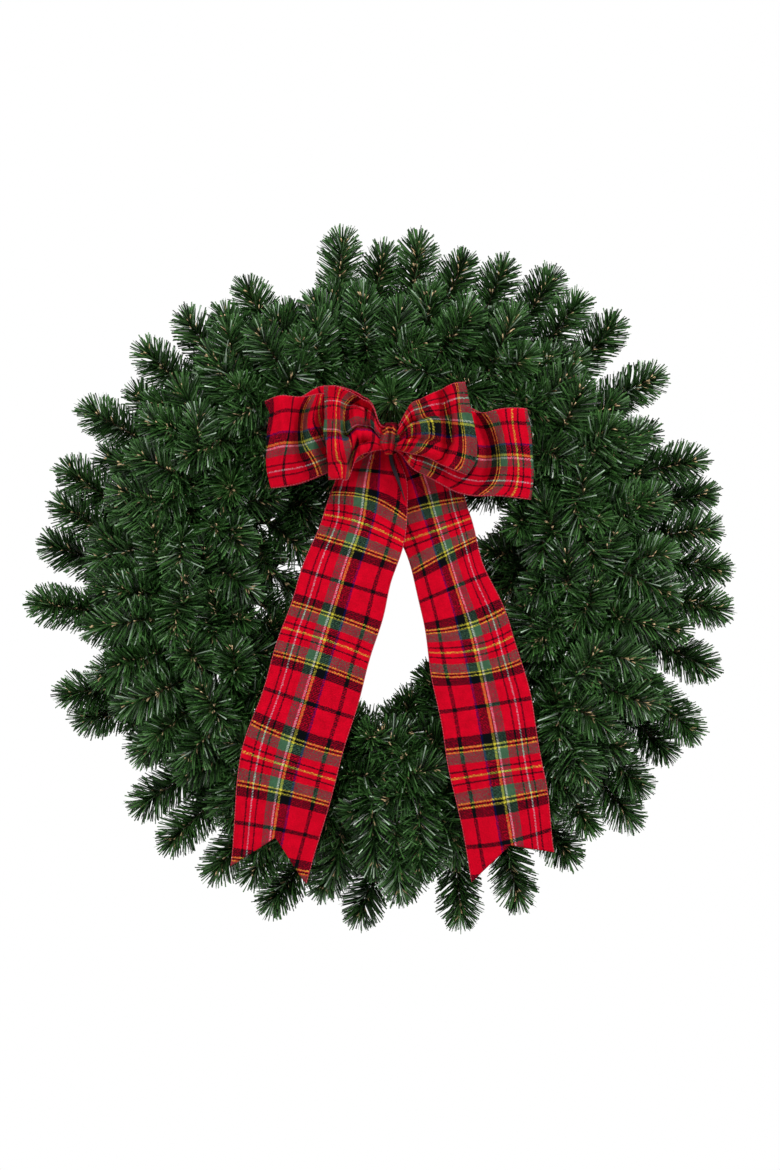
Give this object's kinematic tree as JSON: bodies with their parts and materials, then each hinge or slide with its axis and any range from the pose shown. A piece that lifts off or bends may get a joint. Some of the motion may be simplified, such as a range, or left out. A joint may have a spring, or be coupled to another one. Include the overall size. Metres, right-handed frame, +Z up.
{
  "type": "holiday wreath",
  "caption": "Round evergreen wreath of soft artificial needles on a wire ring, with a tartan ribbon bow and two long swallowtail tails.",
  "frame": {"origin": "underside of the ring's wire at its highest point, where a nail or door hook carries the wreath", "axes": "+Z up; the wreath hangs in the XZ plane with its front and bow towards -Y and the door behind it at +Y; +X is to the right seen from the front"},
  "size_m": [0.7691, 0.1619, 0.7706],
  "materials": {
    "needles": "slightly glossy dark green film needles",
    "ring_wire": "dark green painted steel wire",
    "tartan_ribbon": "brushed red tartan cloth with overlocked edges",
    "strap": "dark flat plastic-coated tie",
    "twig_wire": "brown twisted stem wire with tan film ends"
  },
  "bodies": {
    "root": {"ring": "ring_wire", "sprig_01": "needles", "sprig_02": "needles", "sprig_03": "needles", "sprig_04": "needles", "sprig_05": "needles", "sprig_06": "needles", "sprig_07": "needles", "sprig_08": "needles", "sprig_09": "needles", "sprig_10": "needles", "sprig_11": "needles", "sprig_12": "needles", "sprig_13": "needles", "sprig_14": "needles", "sprig_15": "needles", "sprig_16": "needles", "sprig_17": "needles", "sprig_18": "needles", "sprig_19": "needles", "sprig_20": "needles", "sprig_21": "needles", "sprig_22": "needles", "sprig_23": "needles", "sprig_24": "needles", "sprig_25": "needles", "sprig_26": "needles", "sprig_27": "needles", "sprig_28": "needles", "sprig_29": "needles", "sprig_30": "needles", "sprig_31": "needles", "sprig_32": "needles", "sprig_33": "needles", "sprig_34": "needles", "sprig_35": "needles", "sprig_36": "needles", "sprig_37": "needles", "sprig_38": "needles", "sprig_39": "needles", "sprig_40": "needles", "sprig_41": "needles", "sprig_42": "needles", "sprig_43": "needles", "sprig_44": "needles", "sprig_45": "needles", "sprig_46": "needles", "sprig_47": "needles", "sprig_48": "needles", "bow_loop_back_left": "tartan_ribbon", "bow_loop_back_right": "tartan_ribbon", "bow_loop_front_left": "tartan_ribbon", "bow_loop_front_right": "tartan_ribbon", "bow_tail_left": "tartan_ribbon", "bow_tail_right": "tartan_ribbon", "bow_knot": "tartan_ribbon", "bow_strap": "strap"}
  },
  "joints": []
}
